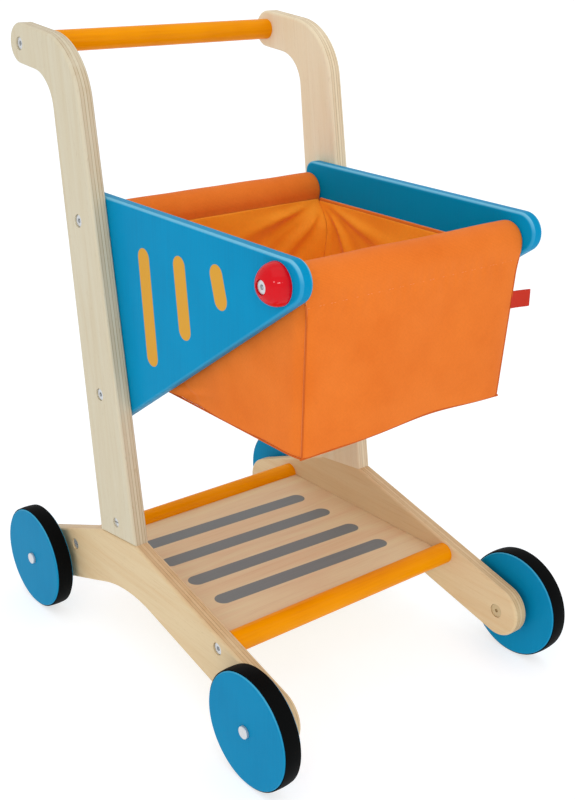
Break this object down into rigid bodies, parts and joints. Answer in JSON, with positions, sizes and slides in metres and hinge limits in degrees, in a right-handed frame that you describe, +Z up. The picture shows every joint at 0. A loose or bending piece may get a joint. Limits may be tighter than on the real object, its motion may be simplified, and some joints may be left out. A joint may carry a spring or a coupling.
{
  "type": "toy shopping cart",
  "caption": "Toddler's push-along play shopping cart: plywood sides, soft open basket, low shelf, round push handle and rubber-tyred wheels that roll.",
  "frame": {"origin": "on the floor, midway between the two axles and between the two side frames", "axes": "+Z up; +Y back towards the push handle; +X to the right side of the cart as a child pushing it sees it"},
  "size_m": [0.3386, 0.4564, 0.566],
  "materials": {
    "birch_plywood": "satin clear lacquer",
    "orange_lacquered_wood": "satin colour lacquer",
    "blue_lacquered_wood": "satin colour lacquer",
    "blue_wheel_lacquer": "satin colour lacquer",
    "black_rubber": "matte",
    "red_lacquer": "high gloss lacquer",
    "beech": "raw",
    "orange_cloth": "plain weave cloth",
    "red_tape": "woven tape",
    "nylon": "matte",
    "brass_inserts": "machined",
    "dark_steel": "black oxide",
    "zinc_steel": "zinc plated"
  },
  "bodies": {
    "cart": {"back_bar_bolts": "zinc_steel", "basket_back": "orange_cloth", "basket_back_bar": "orange_lacquered_wood", "basket_bar_inserts": "brass_inserts", "basket_floor": "orange_cloth", "basket_front": "orange_cloth", "basket_front_bar": "orange_lacquered_wood", "basket_left": "orange_cloth", "basket_right": "orange_cloth", "care_tag": "red_tape", "foot_barrel_nuts": "zinc_steel", "foot_bolts": "dark_steel", "foot_dowels": "beech", "front_bar_bolts": "zinc_steel", "front_left_axle_bolt": "dark_steel", "front_left_axle_sleeve": "zinc_steel", "front_left_spacer": "nylon", "front_rail_bolts": "zinc_steel", "front_right_axle_bolt": "dark_steel", "front_right_axle_sleeve": "zinc_steel", "front_right_spacer": "nylon", "handle_bar": "orange_lacquered_wood", "handle_bolts": "zinc_steel", "handle_inserts": "brass_inserts", "left_foot": "birch_plywood", "left_knob": "red_lacquer", "left_side_panel": "blue_lacquered_wood", "left_upright": "birch_plywood", "panel_bolts": "zinc_steel", "panel_sleeve_nuts": "zinc_steel", "rail_inserts": "brass_inserts", "rear_left_axle_bolt": "dark_steel", "rear_left_axle_sleeve": "zinc_steel", "rear_left_spacer": "nylon", "rear_rail_bolts": "zinc_steel", "rear_right_axle_bolt": "dark_steel", "rear_right_axle_sleeve": "zinc_steel", "rear_right_spacer": "nylon", "right_foot": "birch_plywood", "right_side_panel": "blue_lacquered_wood", "right_upright": "birch_plywood", "shelf_board": "birch_plywood", "shelf_front_rail": "orange_lacquered_wood", "shelf_rear_rail": "orange_lacquered_wood"},
    "front_left_wheel_body": {"front_left_wheel": "blue_wheel_lacquer", "front_left_tyre": "black_rubber"},
    "front_right_wheel_body": {"front_right_wheel": "blue_wheel_lacquer", "front_right_tyre": "black_rubber"},
    "rear_left_wheel_body": {"rear_left_wheel": "blue_wheel_lacquer", "rear_left_tyre": "black_rubber"},
    "rear_right_wheel_body": {"rear_right_wheel": "blue_wheel_lacquer", "rear_right_tyre": "black_rubber"}
  },
  "joints": [
    {"name": "front_left_wheel_spin", "type": "hinge", "parent": "cart", "child": "front_left_wheel_body", "pos_m": [-0.1578, -0.17675, 0.0515], "axis": [1, 0, 0], "continuous": true},
    {"name": "front_right_wheel_spin", "type": "hinge", "parent": "cart", "child": "front_right_wheel_body", "pos_m": [0.1578, -0.17675, 0.0515], "axis": [1, 0, 0], "continuous": true},
    {"name": "rear_left_wheel_spin", "type": "hinge", "parent": "cart", "child": "rear_left_wheel_body", "pos_m": [-0.1578, 0.17675, 0.0515], "axis": [1, 0, 0], "continuous": true},
    {"name": "rear_right_wheel_spin", "type": "hinge", "parent": "cart", "child": "rear_right_wheel_body", "pos_m": [0.1578, 0.17675, 0.0515], "axis": [1, 0, 0], "continuous": true}
  ]
}
